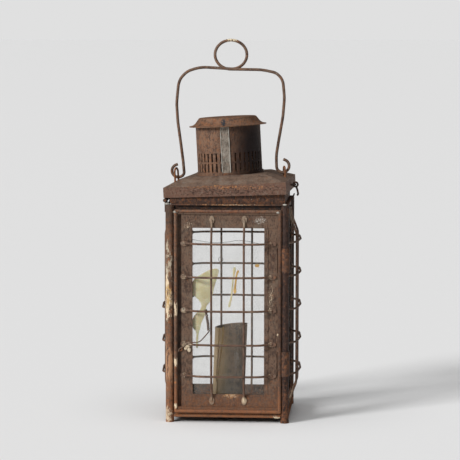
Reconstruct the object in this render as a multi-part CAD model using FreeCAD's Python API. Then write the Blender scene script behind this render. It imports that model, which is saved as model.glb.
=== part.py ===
import FreeCAD, Part
import math
import os

V = FreeCAD.Vector

# A wire-guarded candle lantern of tinned sheet iron, in millimetres.
# Origin: centre of the footprint on the standing surface. +Z up, the door faces -Y, +X is to its right.

# ---------------------------------------------------------------- driving dimensions
BODY_W = 125.0          # across the outsides of the corner posts, both ways
POST_D = 8.5            # rolled sheet posts
POST_WALL = 1.1
WALL_TOP = 221.0        # where the posts end under the ledge of the collar
SHEET = 0.9             # all folded sheet
SET_BACK = 2.5          # outer face of the walls, behind the outsides of the posts

FOOT_H = 5.4            # clear height under the bottom rails
FLANGE_UP = 0.2         # walls and floor pan start this far above the rails' undersides
RAIL_D = 2.6            # wired bottom edge
FLOOR_TOP = 9.5

WINDOW_SIDE = 8.5       # stile beside a fixed window
WINDOW_LOW = 19.8       # lower edge of the fixed windows, above the ground
WINDOW_HEAD = 18.0      # plate above the fixed windows
GLASS_T = 1.6
GLASS_LAP = 3.5         # glass hidden behind the stile
GLASS_EDGE_GAP = 0.3    # glass to the web of its channel
GLASS_SET_DOWN = 2.0    # panes end below the apron
CONTACT_GAP = 0.05      # soldered or resting faces that are drawn just apart
WIRE_GAP = 0.02         # crossing or resting wires

DOOR_GAP_LEFT = 0.4     # door bead to the line of the left post's side
DOOR_HINGE_GAP = 0.35   # door bead to the post that it turns on
DOOR_GAP_LOW = 0.4      # door bead above the sill
DOOR_GAP_TOP = 4.3      # door bead below the ledge
BEAD_D = 3.4
BEAD_PROUD = 0.4        # back of the bead in front of the plate
DOOR_LIP_LOW = 2.7      # folded lip above the lower bead
DOOR_LIP_TOP = 1.3
DOOR_PLATE_LOW = 29.0   # lower edge of the door window
DOOR_PLATE_HEAD = 23.0  # ledge down to the upper edge of the door window
DOOR_STILE_LEFT = 16.9  # bead centre to window edge
DOOR_STILE_RIGHT = 15.9
STRIP_W = 3.9           # folded strip along the window edges
STRIP_T = 0.5
GROOVE_W = 3.9          # deep fold between the free edge's bead and the plate
GROOVE_DEPTH = 2.5
CROSS_PLATE_T = 0.4     # plates laid across the door above and below the window
DOOR_GLASS_TOP = 184.0  # the pane has lost its top

STRAP_H = 24.8          # the two wrapped hinge straps
STRAP_T = 0.8
STRAP_LOW = 48.0
STRAP_HIGH = 153.0
STRAP_TAIL = 9.0        # tail soldered behind the stile
STRAP_ROOM = 0.35       # cut in the right wall round a strap
PIVOT_CLEAR = 0.08      # running clearance on hinge posts and pins

WIRE_D = 2.2            # guard wires
PADDLE_L = 8.4          # flattened wire ends
PADDLE_W = 5.2
PADDLE_T = 1.3
PADDLE_SINK = 0.5       # wire let into its flattened end
PADDLE_SET_IN = 1.9     # side bars' paddles clear of the posts
UPRIGHT_OUT = 8.2       # centre of the uprights, off the wall face
UPRIGHT_FLAT = 3.0      # straight start at each end
UPRIGHT_RAMP = 21.0     # length over which an upright bows out
UPRIGHT_BEND = 14.0
BAR_FLAT = 2.2          # the same three for the cross bars
BAR_RAMP = 12.5
BAR_BEND = 16.0
BAR_BOW = 2.6           # a bar's middle stands this much further out than its shoulders
LEFT_PRESSED_IN = 1.6   # the left side's guard has been pushed towards its pane
BAR_LOW_GAP = 28.4      # lowest bar above the fixed window's lower edge
BAR_TOP_GAP = 20.6      # highest bar below its upper edge
BAR_UNEVEN = (0.0, -1.5, -0.8, -0.2, 0.0)   # hand-set heights, off an even spacing
UPRIGHTS_FRONT = (-15.5, 17.3)
UPRIGHTS_SIDE = (-16.4, 16.4)
LOST_REAR_BAR = 1       # counted from the lowest
LEFT_BARS_KEPT = 3      # the left side has lost its two highest

CANDLE_TUBE_D = 33.4
CANDLE_TUBE_WALL = 0.9
CANDLE_TUBE_H = 82.0    # to the middle of its slanted rim
CANDLE_RIM_SLANT = 9.0  # degrees, higher on the right
CANDLE_LEAN = 2.2       # degrees, to the right
CANDLE_X = -3.2         # where the tube stands
CANDLE_CLEAR = 0.35
CANDLE_STUB_H = 42.0
WICK_D = 1.6
WICK_H = 9.0
WICK_SUNK = 6.0         # of it inside the stub
CANDLE_FOOT = 1.2       # stub above the floor pan
CRATER_DEEP = 3.0

NECK_SET_IN = 4.5       # neck of the collar, inside the outsides of the posts
NECK_H = 8.6            # above the ledge, at the hinge
NECK_RISE = 6.0         # extra height away from the hinge, where the bent lid rests
LEDGE_T = 1.3
LEDGE_SET_IN = 0.9
APRON_H = 4.0           # collar below the ledge, over the door
APRON_SET_BACK = 2.4    # behind the walls' outer faces

CHIMNEY_D = 66.5
LID_W = BODY_W - 1.0    # outside of the skirt
SKIRT_H = 10.2          # at the hinge
SKIRT_DROP = 1.9        # deeper away from the hinge
ROOF_RISE = 7.9
ROOF_TOP_W = CHIMNEY_D + 11.5
LID_YAW = -2.0          # degrees, the lid sits askew
LID_TILT = 3.0          # degrees, ajar at rest
HINGE_OUT = 0.75        # hinge axis outside the posts
HINGE_UP = 4.4          # hinge axis above the ledge's underside
HINGE_D = 3.8
HINGE_PIN_D = 1.8
KNUCKLES = 5
KNUCKLE_GAP = 0.35
HINGE_SET_IN = 4.0      # ends of the pin, inside the lid's corners
LEAF_DROP = 7.4         # body leaf below the ledge's underside
LEAF_UP = 8.0           # lid leaf up the skirt
SKIRT_OVER_HINGE = 2.6  # skirt edge above the hinge axis

CHIMNEY_WALL = 0.8
BASE_RING_T = 1.3
BASE_RING_H = 2.6
SLOT_W = 1.9
SLOT_H = 8.9
SLOT_ROWS = (3.3, 13.7)     # lower ends, above the roof
SLOT_PITCHES = 42           # even pitches round the tube
SLOT_COUNT = 40             # two are left out at the seam
SLOT_FIRST = 16.8       # degrees from the seam to the first slot
SEAM_W = 9.0
SEAM_T = 0.7
SEAM_UNDER_BRIM = 0.9
CAP_D = CHIMNEY_D + 13.0
CAP_TOP_D = CHIMNEY_D - 7.1
CAP_H = 8.1
CAP_FLARE = 6.4         # width of the upturned brim
CAP_FLARE_UP = 2.7
BRIM_UP = 50.3          # brim edge above the roof

BAIL_D = 3.0
CURL_R = 6.6            # centreline of the end curls
CURL_SWEEP = 270.0
CURL_TIP = 100.0        # degrees up from the outward side
CURL_SIDES = 9
BAIL_PIVOT_X = 56.0     # eyelets from the lid's middle
BAIL_PIVOT_UP = 4.6     # pivot above the roof surface there
BAIL_INSET = 1.8        # curl centre inside the eyelet
WAIST_IN = (6.9, 8.7)   # foot of each leg, inside its eyelet, left and right
# Heights up a leg, each with the share of the way in to the waist.
LEG_SHAPE = ((17.0, 0.98), (34.0, 0.66), (57.0, 0.2), (76.0, 0.02))
SHOULDER_SHAPE = ((1.6, 13.0), (3.4, 8.5), (8.6, 3.0))  # in from the leg, down from the shoulder
SHOULDER_ROUND = (1.3, 1.0)     # the left shoulder is rounder
BAIL_H = 108.9          # shoulders above the pivots
SHOULDER_SLOPE = 1.2    # left shoulder higher, right one lower
RING_W = 32.7           # ring, centreline
RING_H = 29.6
RING_SIDES = 12
RING_ASIDE = 0.5        # ring's centre, to the right and down
RING_FOOT = (25.0, 23.0)    # where the shoulders start towards the ring, from the pivots
EYELET_D = 2.0
EYELET_HALF = 4.7       # half spacing of its legs
EYELET_TURN = 14.0      # degrees, the legs stand askew
EYELET_HEADROOM = (4.45, 1.0)    # crown centre above the pivot, left and right

HOOK_WIRE_D = 2.0
HOOK_EYE_R = 2.25
HOOK_LENGTH = 10.0
HOOK_DOWN = 6.6         # staple below the top of the skirt
STAPLE_WIRE_D = 1.5
STAPLE_OUT = 4.9
STAPLE_HALF = 2.6
LATCH_DOWN = 5.0        # feet of the body's latch loop below the ledge
LATCH_UP = 6.0          # its top above the ledge
LATCH_OFF = 0.4         # clear of the ledge's edge
LATCH_LEAN = 2.0

TIE_D = 1.1             # twisted tie wire on the door
TIE_TWIST_D = 2.0
TIE_TURN_GAP = 0.25

# ---------------------------------------------------------------- derived dimensions
HALF = BODY_W / 2
POST_C = HALF - POST_D / 2 + 0.05
WALL_Y = HALF - SET_BACK            # outer face of a wall, from the centre
WALL_IN = WALL_Y - SHEET            # its inner face
FLANGE_LOW = FOOT_H + FLANGE_UP
POST_EDGE = POST_C - math.sqrt((POST_D / 2) ** 2 - (POST_C - WALL_Y) ** 2)

WINDOW_HALF = POST_EDGE - WINDOW_SIDE
WINDOW_TOP = WALL_TOP - WINDOW_HEAD
GLASS_TOP = WALL_TOP - APRON_H - GLASS_SET_DOWN
BAR_LOW = WINDOW_LOW + BAR_LOW_GAP
BAR_TOP = WINDOW_TOP - BAR_TOP_GAP
BAR_STEP = (BAR_TOP - BAR_LOW) / (len(BAR_UNEVEN) - 1)
BAR_HEIGHTS = [BAR_LOW + i * BAR_STEP + BAR_UNEVEN[i] for i in range(len(BAR_UNEVEN))]
BAR_OUT = UPRIGHT_OUT + WIRE_D + WIRE_GAP    # where a bar crosses an upright
PADDLE_WIRE = PADDLE_T / 2 + WIRE_D / 2 - PADDLE_SINK    # wire's centre off the wall at a paddle

BEAD_R = BEAD_D / 2
BEAD_Y = WALL_Y + BEAD_R + BEAD_PROUD
BEAD_TO_POST = POST_D / 2 + BEAD_R + DOOR_HINGE_GAP
DOOR_RIGHT = POST_C - math.sqrt(BEAD_TO_POST ** 2 - (BEAD_Y - POST_C) ** 2)
DOOR_LEFT = -POST_C + POST_D / 2 + DOOR_GAP_LEFT + BEAD_R
DOOR_LOW = FLOOR_TOP + DOOR_GAP_LOW + BEAD_R
DOOR_TOP = WALL_TOP - DOOR_GAP_TOP - BEAD_R
DOOR_WINDOW_L = DOOR_LEFT + DOOR_STILE_LEFT
DOOR_WINDOW_R = DOOR_RIGHT - DOOR_STILE_RIGHT
DOOR_WINDOW_TOP = WALL_TOP - DOOR_PLATE_HEAD
GROOVE_EDGE = DOOR_LEFT + BEAD_R + GROOVE_W

NECK = HALF - NECK_SET_IN
LEDGE = HALF - LEDGE_SET_IN
LEDGE_TOP = WALL_TOP + LEDGE_T

HINGE_X = -(HALF + HINGE_OUT)
HINGE_Z = WALL_TOP + HINGE_UP
LID_HALF = LID_W / 2
SKIRT_LOW = HINGE_Z + SKIRT_OVER_HINGE
SKIRT_TOP = SKIRT_LOW + SKIRT_H
ROOF_TOP = SKIRT_TOP + ROOF_RISE
TUBE_R = CHIMNEY_D / 2
BRIM_Z = ROOF_TOP + BRIM_UP

BAIL_PIVOT_Z = SKIRT_TOP + (LID_HALF - BAIL_PIVOT_X) / (LID_HALF - ROOF_TOP_W / 2) * ROOF_RISE + BAIL_PIVOT_UP
HOOK_PIVOT = V(LID_HALF + STAPLE_OUT, 0, SKIRT_TOP - HOOK_DOWN)


# ---------------------------------------------------------------- helpers
def box(x0, x1, y0, y1, z0, z1):
    return Part.makeBox(x1 - x0, y1 - y0, z1 - z0, V(x0, y0, z0))


def rod(start, end, radius):
    return Part.makeCylinder(radius, (end - start).Length, start, end - start)


def fused(shapes):
    whole = shapes[0].fuse(shapes[1:]) if len(shapes) > 1 else shapes[0]
    return whole.removeSplitter()


def rounded_path(points, bend):
    """One wire through the points, each corner an arc of at most the radius given."""
    edges = []
    last = points[0]
    for i in range(1, len(points) - 1):
        back = points[i - 1] - points[i]
        ahead = points[i + 1] - points[i]
        room = 0.499 * min(back.Length, ahead.Length)
        back.normalize()
        ahead.normalize()
        half_turn = back.getAngle(ahead) / 2
        reach = min(room, bend / math.tan(half_turn))
        radius = reach * math.tan(half_turn)
        middle = (back + ahead).normalize()
        enter = points[i] + back * reach
        leave = points[i] + ahead * reach
        top = points[i] + middle * (radius / math.sin(half_turn) - radius)
        if (enter - last).Length > 1e-3:
            edges.append(Part.LineSegment(last, enter).toShape())
        else:
            enter = last
        edges.append(Part.Arc(enter, top, leave).toShape())
        last = leave
    edges.append(Part.LineSegment(last, points[-1]).toShape())
    return Part.Wire(edges)


def bent_wire(points, diameter, bend):
    """A round wire bent along the points."""
    path = rounded_path(points, bend)
    start = points[0]
    circle = Part.Wire([Part.makeCircle(diameter / 2, start, points[1] - start)])
    return path.makePipeShell([circle], True, False)


def paddle(lateral, height, upright):
    """A flattened wire end, soldered to the front wall face."""
    long_half = PADDLE_L / 2
    wide_half = PADDLE_W / 2
    across = V(1, 0, 0) if not upright else V(0, 0, 1)
    centre = V(lateral, -WALL_Y - PADDLE_T, height)
    ellipse = Part.Ellipse(centre + across * long_half, centre + V(across.z, 0, across.x) * wide_half, centre)
    face = Part.Face(Part.Wire([ellipse.toShape()]))
    return face.extrude(V(0, PADDLE_T, 0))


def turned(shape, degrees):
    """The shape turned about the lantern's upright axis, from the front to another side."""
    copy = shape.copy()
    copy.rotate(V(0, 0, 0), V(0, 0, 1), degrees)
    return copy


def on_lid(shape):
    """Takes a shape from the level lid to where the askew, ajar lid rests."""
    copy = turned(shape, LID_YAW)
    copy.rotate(V(HINGE_X, 0, HINGE_Z), V(0, -1, 0), LID_TILT)
    return copy


def lid_point(x, z):
    """Where a point of the level lid's middle plane comes to rest, in that turned plane."""
    tilt = math.radians(LID_TILT)
    dx = x - HINGE_X
    dz = z - HINGE_Z
    return (HINGE_X + dx * math.cos(tilt) - dz * math.sin(tilt),
            HINGE_Z + dx * math.sin(tilt) + dz * math.cos(tilt))


def save(name, shape):
    shape.exportStep(os.path.join("parts", name + ".step"))
    solids = shape.Solids
    volume = sum(s.Volume for s in solids)
    print(f"{name:26s} solids {len(solids)} valid {shape.isValid()} volume {volume:9.1f}")


# ---------------------------------------------------------------- body
def post_envelope(extra=0.0):
    places = [V(x, y, 0) for x in (-POST_C, POST_C) for y in (-POST_C, POST_C)]
    return fused([Part.makeCylinder(POST_D / 2 + extra, WALL_TOP, p) for p in places])


def corner_post(x, y):
    tube = Part.makeCylinder(POST_D / 2, WALL_TOP, V(x, y, 0))
    return tube.cut(Part.makeCylinder(POST_D / 2 - POST_WALL, WALL_TOP, V(x, y, 0)))


def floor_pan():
    plate = box(-WALL_IN, WALL_IN, -WALL_IN, WALL_IN, FLANGE_LOW, FLOOR_TOP)
    inner = WALL_IN - SHEET
    hollow = box(-inner, inner, -inner, inner, FLANGE_LOW, FLOOR_TOP - SHEET)
    return plate.cut(hollow).cut(post_envelope())


def bottom_rail():
    z = FOOT_H + RAIL_D / 2
    y = -WALL_Y - RAIL_D / 2
    reach = HALF - POST_D
    return rod(V(-reach, y, z), V(reach, y, z), RAIL_D / 2).cut(post_envelope())


def front_sill():
    return box(-POST_C, POST_C, -WALL_Y, -WALL_IN, FLANGE_LOW, FLOOR_TOP).cut(post_envelope())


def window_wall():
    """Front-facing copy of a fixed wall: a plate with its window, notched round the posts."""
    plate = box(-POST_C, POST_C, -WALL_Y, -WALL_IN, FLANGE_LOW, WALL_TOP)
    window = box(-WINDOW_HALF, WINDOW_HALF, -HALF, -WALL_IN + 1, WINDOW_LOW, WINDOW_TOP)
    return plate.cut(window).cut(post_envelope())


def strap_relief():
    """Room for the door's hinge straps as they turn about the right front post."""
    reach = POST_D / 2 + PIVOT_CLEAR + STRAP_T + STRAP_ROOM
    bands = [Part.makeCylinder(reach, STRAP_H + 2 * STRAP_ROOM, V(POST_C, -POST_C, low - STRAP_ROOM))
             for low in (STRAP_LOW, STRAP_HIGH)]
    return fused(bands)


def glass_pane():
    half = WINDOW_HALF + GLASS_LAP
    back = -WALL_IN + CONTACT_GAP
    return box(-half, half, back, back + GLASS_T, FLOOR_TOP + CONTACT_GAP, GLASS_TOP)


def glass_channel(edge, side, low, high):
    """Folded strip that holds a pane's edge against the wall; side is -1 or 1."""
    web = edge + side * GLASS_EDGE_GAP
    outer = web + side * SHEET
    lip = edge - side * (GLASS_LAP - 0.4)
    front = -WALL_IN + CONTACT_GAP + GLASS_T + CONTACT_GAP
    ledge_x = sorted((lip, outer))
    web_x = sorted((web, outer))
    lip_plate = box(ledge_x[0], ledge_x[1], front, front + SHEET, low, high)
    web_plate = box(web_x[0], web_x[1], -WALL_IN, front + SHEET, low, high)
    return fused([lip_plate, web_plate])


def fixed_channels():
    edge = WINDOW_HALF + GLASS_LAP
    low = FLOOR_TOP + CONTACT_GAP
    return Part.makeCompound([glass_channel(s * edge, s, low, GLASS_TOP) for s in (-1, 1)])


def guard_upright(x, low, high, pressed_in):
    wall = -WALL_Y - PADDLE_WIRE
    out = -WALL_Y - UPRIGHT_OUT + pressed_in
    points = [V(x, wall, low), V(x, wall, low + UPRIGHT_FLAT), V(x, out, low + UPRIGHT_RAMP),
              V(x, out, high - UPRIGHT_RAMP), V(x, wall, high - UPRIGHT_FLAT), V(x, wall, high)]
    ends = [paddle(x, low, True), paddle(x, high, True)]
    return fused([bent_wire(points, WIRE_D, UPRIGHT_BEND)] + ends)


def guard_uprights(places, low, high, pressed_in=0.0):
    return Part.makeCompound([guard_upright(x, low, high, pressed_in) for x in places])


def guard_bar(left, right, z, pressed_in):
    """A bar bowed out over the uprights; its middle run slopes from each shoulder to the centre."""
    wall = -WALL_Y - PADDLE_WIRE
    centre = (left + right) / 2
    crossing = max(abs(x - centre) for x in UPRIGHTS_FRONT + UPRIGHTS_SIDE)
    half = (right - left) / 2 - BAR_RAMP
    middle = -WALL_Y - BAR_OUT + pressed_in - BAR_BOW * crossing / half
    shoulder = middle + BAR_BOW
    points = [V(left, wall, z), V(left + BAR_FLAT, wall, z), V(left + BAR_RAMP, shoulder, z),
              V(centre, middle, z),
              V(right - BAR_RAMP, shoulder, z), V(right - BAR_FLAT, wall, z), V(right, wall, z)]
    ends = [paddle(left, z, False), paddle(right, z, False)]
    return fused([bent_wire(points, WIRE_D, BAR_BEND)] + ends)


def guard_bars(left, right, heights, pressed_in=0.0):
    return Part.makeCompound([guard_bar(left, right, z, pressed_in) for z in heights])


def top_collar():
    """Neck that the lid fits over, its ledge on the posts, and an apron over the door."""
    apron_y = WALL_Y - APRON_SET_BACK
    low = WALL_TOP - APRON_H
    apron = box(-POST_EDGE, POST_EDGE, -apron_y, -apron_y + SHEET, low, WALL_TOP)
    ledge = box(-LEDGE, LEDGE, -LEDGE, LEDGE, WALL_TOP, LEDGE_TOP)
    neck_in = NECK - SHEET
    ledge = ledge.cut(box(-neck_in, neck_in, -neck_in, neck_in, WALL_TOP, LEDGE_TOP))
    neck = box(-NECK, NECK, -NECK, NECK, LEDGE_TOP, LEDGE_TOP + NECK_H + NECK_RISE)
    neck = neck.cut(box(-neck_in, neck_in, -neck_in, neck_in, LEDGE_TOP, LEDGE_TOP + NECK_H + NECK_RISE))
    top = LEDGE_TOP + NECK_H
    trim = Part.makePolygon([V(-HALF, -HALF, top), V(HALF, -HALF, top + NECK_RISE),
                             V(HALF, -HALF, top + 3 * NECK_RISE), V(-HALF, -HALF, top + 3 * NECK_RISE),
                             V(-HALF, -HALF, top)])
    trim = Part.Face(trim).extrude(V(0, BODY_W, 0))
    return fused([apron, ledge, neck.cut(trim)])


# ---------------------------------------------------------------- candle
def candle_frame(shape):
    """Takes a shape from an upright candle at the origin to the leaning one on the floor."""
    copy = shape.copy()
    copy.rotate(V(0, 0, 0), V(0, 1, 0), CANDLE_LEAN)
    copy.translate(V(CANDLE_X, 0, FLOOR_TOP))
    return copy


def candle_tube():
    r = CANDLE_TUBE_D / 2
    tube = Part.makeCylinder(r, CANDLE_TUBE_H + r + 4, V(0, 0, -4))
    tube = tube.cut(Part.makeCylinder(r - CANDLE_TUBE_WALL, CANDLE_TUBE_H + r + 4, V(0, 0, -4)))
    slant = box(-4 * r, 4 * r, -2 * r, 2 * r, 0, 4 * r)
    slant.rotate(V(0, 0, 0), V(0, 1, 0), -CANDLE_RIM_SLANT)
    slant.translate(V(0, 0, CANDLE_TUBE_H))
    tube = candle_frame(tube.cut(slant))
    return tube.cut(box(-HALF, HALF, -HALF, HALF, -HALF, FLOOR_TOP))


def candle_parts():
    tube_r = CANDLE_TUBE_D / 2 - CANDLE_TUBE_WALL
    stub_r = tube_r - CANDLE_CLEAR
    stub = Part.makeCylinder(stub_r, CANDLE_STUB_H, V(0, 0, CANDLE_FOOT))
    top = CANDLE_FOOT + CANDLE_STUB_H
    crater_r = 2.4 * stub_r
    crater = Part.makeSphere(crater_r, V(0, 0, top + crater_r - CRATER_DEEP))
    wick = Part.makeCylinder(WICK_D / 2, WICK_H, V(0, 0, top - WICK_SUNK))
    stub = stub.cut(crater).cut(wick)
    return candle_frame(stub), candle_frame(wick)


# ---------------------------------------------------------------- door
def door_corners():
    return [V(DOOR_LEFT, -BEAD_Y, DOOR_LOW), V(DOOR_RIGHT, -BEAD_Y, DOOR_LOW),
            V(DOOR_RIGHT, -BEAD_Y, DOOR_TOP), V(DOOR_LEFT, -BEAD_Y, DOOR_TOP)]


def door_bead():
    """The wired edge all round the door."""
    corners = door_corners()
    runs = [rod(corners[i], corners[(i + 1) % 4], BEAD_R) for i in range(4)]
    joints = [Part.makeSphere(BEAD_R, c) for c in corners]
    return fused(runs + joints)


def door_panel():
    """A shallow tray: plate with its window, rim up to the bead, lips and strap slits."""
    rim_l = DOOR_LEFT + BEAD_R - SHEET / 2
    rim_r = DOOR_RIGHT - BEAD_R + SHEET / 2
    low = DOOR_LOW
    high = DOOR_TOP
    plate = box(GROOVE_EDGE, rim_r, -WALL_Y, -WALL_IN, low, high)
    groove = box(rim_l, GROOVE_EDGE + SHEET, -WALL_Y, -WALL_IN + GROOVE_DEPTH, low, high)
    groove = groove.cut(box(rim_l + SHEET, GROOVE_EDGE, -WALL_Y, -WALL_Y + GROOVE_DEPTH,
                            low + BEAD_R + DOOR_LIP_LOW, high - BEAD_R - DOOR_LIP_TOP))
    rim = box(rim_l, rim_r, -BEAD_Y, -WALL_Y, low, high)
    rim = rim.cut(box(rim_l + SHEET, rim_r - SHEET, -BEAD_Y, -WALL_Y,
                      low + BEAD_R + DOOR_LIP_LOW, high - BEAD_R - DOOR_LIP_TOP))
    window = box(DOOR_WINDOW_L, DOOR_WINDOW_R, -HALF, -WALL_IN, DOOR_PLATE_LOW, DOOR_WINDOW_TOP)
    slits = [box(rim_r - 2 * SHEET, rim_r - SHEET, -HALF, -WALL_IN, z, z + STRAP_H)
             for z in (STRAP_LOW, STRAP_HIGH)]
    tray = fused([plate, groove, rim]).cut(window).cut(door_bead())
    return tray.cut(fused(slits))


def window_strip(x0, x1):
    return box(x0, x1, -WALL_Y - STRIP_T, -WALL_Y, DOOR_PLATE_LOW, DOOR_WINDOW_TOP)


def door_window_strips():
    left = window_strip(DOOR_WINDOW_L - STRIP_W, DOOR_WINDOW_L)
    right = window_strip(DOOR_WINDOW_R, DOOR_WINDOW_R + STRIP_W)
    return Part.makeCompound([left, right])


def door_cross_plates(uprights):
    """Thin plates across the door above and below its window, fitted round the soldered wire ends."""
    right = DOOR_RIGHT - BEAD_R - SHEET / 2
    face = -WALL_Y - CROSS_PLATE_T
    upper = box(GROOVE_EDGE, right, face, -WALL_Y, DOOR_WINDOW_TOP, DOOR_TOP - BEAD_R - DOOR_LIP_TOP)
    lower = box(GROOVE_EDGE, right, face, -WALL_Y, DOOR_LOW + BEAD_R + DOOR_LIP_LOW, DOOR_PLATE_LOW)
    return Part.makeCompound([upper.cut(uprights), lower.cut(uprights)])


def door_channels():
    low = DOOR_PLATE_LOW - 10
    high = DOOR_WINDOW_TOP + 8
    left = glass_channel(DOOR_WINDOW_L - GLASS_LAP, -1, low, high)
    right = glass_channel(DOOR_WINDOW_R + GLASS_LAP, 1, low, high)
    stops = [box(DOOR_WINDOW_L - GLASS_LAP - GLASS_EDGE_GAP, DOOR_WINDOW_L + 3, -WALL_IN,
                 -WALL_IN + GLASS_T + 2 * CONTACT_GAP, low, low + 2),
             box(DOOR_WINDOW_R - 3, DOOR_WINDOW_R + GLASS_LAP + GLASS_EDGE_GAP, -WALL_IN,
                 -WALL_IN + GLASS_T + 2 * CONTACT_GAP, low, low + 2)]
    return Part.makeCompound([fused([left, stops[0]]), fused([right, stops[1]])])


def door_glass():
    """The pane, its top broken off in a shallow uneven curve."""
    x0 = DOOR_WINDOW_L - GLASS_LAP
    x1 = DOOR_WINDOW_R + GLASS_LAP
    back = -WALL_IN + CONTACT_GAP
    low = DOOR_PLATE_LOW - 8 + CONTACT_GAP
    top = DOOR_GLASS_TOP
    edge = [V(x0, back, top + 3.0), V(x0 + 8, back, top + 1.4), V(x0 + 22, back, top - 0.6),
            V(x0 + 38, back, top - 0.2), V(x0 + 50, back, top + 1.6), V(x1 - 18, back, top + 0.4),
            V(x1 - 8, back, top - 1.8), V(x1, back, top - 1.0)]
    spline = Part.BSplineCurve()
    spline.interpolate(edge)
    sides = [Part.LineSegment(V(x0, back, low), edge[0]), spline,
             Part.LineSegment(edge[-1], V(x1, back, low)),
             Part.LineSegment(V(x1, back, low), V(x0, back, low))]
    face = Part.Face(Part.Wire([s.toShape() for s in sides]))
    return face.extrude(V(0, GLASS_T, 0))


def hinge_strap(low):
    """A strip wrapped right round the post, its tail soldered behind the stile."""
    r_in = POST_D / 2 + PIVOT_CLEAR
    r_out = r_in + STRAP_T
    centre = V(POST_C, -POST_C, low)
    tail_end = DOOR_RIGHT - BEAD_R - STRAP_TAIL
    tail = box(tail_end, POST_C - r_in, -WALL_IN, -WALL_IN + STRAP_T, low, low + STRAP_H)
    strap = fused([Part.makeCylinder(r_out, STRAP_H, centre), tail])
    strap = strap.cut(Part.makeCylinder(r_in, STRAP_H, centre))
    return strap.cut(rod(V(DOOR_RIGHT, -BEAD_Y, 0), V(DOOR_RIGHT, -BEAD_Y, WALL_TOP), BEAD_R + 0.02))


def tie_wire():
    """A wire looped on the third bar, twisted on itself, then led round the end of the second."""
    y = -WALL_Y - BAR_OUT
    top = BAR_HEIGHTS[2]
    low = BAR_HEIGHTS[1]
    hang_x = DOOR_WINDOW_L + 16.5
    ring_r = WIRE_D / 2 + TIE_TURN_GAP + TIE_D / 2
    ring_z = top - TIE_TURN_GAP + 0.02
    ring = Part.makeTorus(ring_r, TIE_D / 2, V(hang_x, y, ring_z), V(1, 0, 0))
    knot_top = ring_z - ring_r
    twist = rod(V(hang_x, y, knot_top), V(hang_x + 0.9, y, knot_top - 15.4), TIE_TWIST_D / 2)
    end_x = DOOR_WINDOW_L + 1.5
    near = -WALL_Y - 3.4
    points = [V(hang_x + 0.9, y, knot_top - 14.6), V(hang_x + 0.6, y, knot_top - 18.0),
              V(hang_x - 5.0, y + 0.4, low + 8.0), V(hang_x - 10.5, y + 0.4, low + 3.2),
              V(end_x, y + 2.6, low + 2.6), V(end_x - 6.0, near - 1.2, low + 3.0),
              V(end_x - 9.5, near, low - 3.4), V(end_x - 12.0, near, low - 3.0),
              V(end_x - 13.6, near, low - 6.2), V(end_x - 11.2, near, low - 8.2),
              V(end_x - 10.0, near, low - 6.6)]
    strand = bent_wire(points, TIE_D, 4.0)
    return fused([ring, twist, strand])


# ---------------------------------------------------------------- lid
def skirt_trim():
    """Everything below the skirt's sloping lower edge, drawn well past both its ends."""
    reach = LID_W
    start = V(-reach, -reach, SKIRT_LOW + SKIRT_DROP / 2)
    end = V(reach, -reach, SKIRT_LOW - SKIRT_DROP * 3 / 2)
    deep = SKIRT_LOW - 2 * SKIRT_H
    outline = Part.makePolygon([start, end, V(reach, -reach, deep), V(-reach, -reach, deep), start])
    return Part.Face(outline).extrude(V(0, 2 * reach, 0))


def square(half, z):
    return Part.makePolygon([V(-half, -half, z), V(half, -half, z), V(half, half, z), V(-half, half, z),
                             V(-half, -half, z)])


def roof():
    skirt_deep = SKIRT_LOW - SKIRT_DROP - 2
    top_half = ROOF_TOP_W / 2
    outer = box(-LID_HALF, LID_HALF, -LID_HALF, LID_HALF, skirt_deep, SKIRT_TOP)
    slopes = Part.makeLoft([square(LID_HALF, SKIRT_TOP), square(top_half, ROOF_TOP)], True, True)
    outer = fused([outer, slopes])
    inner_half = LID_HALF - SHEET
    inner = box(-inner_half, inner_half, -inner_half, inner_half, skirt_deep - 1, SKIRT_TOP - SHEET)
    hollow = [square(inner_half, SKIRT_TOP - SHEET), square(top_half - SHEET, ROOF_TOP - SHEET)]
    hollow = Part.makeLoft(hollow, True, True)
    vent = Part.makeCylinder(TUBE_R - CHIMNEY_WALL, 40, V(0, 0, SKIRT_TOP - 10))
    return outer.cut(fused([inner, hollow])).cut(vent).cut(skirt_trim())


def chimney_tube():
    height = BRIM_UP + CAP_FLARE_UP
    tube = Part.makeCylinder(TUBE_R, height, V(0, 0, ROOF_TOP))
    tube = tube.cut(Part.makeCylinder(TUBE_R - CHIMNEY_WALL, height, V(0, 0, ROOF_TOP)))
    slots = []
    for row in SLOT_ROWS:
        slot = box(-SLOT_W / 2, SLOT_W / 2, -TUBE_R - 1, -TUBE_R + CHIMNEY_WALL + 1,
                   ROOF_TOP + row, ROOF_TOP + row + SLOT_H)
        for i in range(SLOT_COUNT):
            slots.append(turned(slot, SLOT_FIRST + i * 360.0 / SLOT_PITCHES))
    return tube.cut(Part.makeCompound(slots)).cut(chimney_cap())


def ring(r_in, r_out, z, height):
    outer = Part.makeCylinder(r_out, height, V(0, 0, z))
    return outer.cut(Part.makeCylinder(r_in, height, V(0, 0, z)))


def chimney_seam():
    """Lapped and soldered strip up the front of the tube."""
    low = ROOF_TOP + BASE_RING_H
    high = BRIM_Z - SEAM_UNDER_BRIM
    strip = ring(TUBE_R, TUBE_R + SEAM_T, low, high - low)
    keep = box(-SEAM_W / 2, SEAM_W / 2, -TUBE_R - 5, -TUBE_R / 2, low, high)
    return strip.common(keep)


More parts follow.
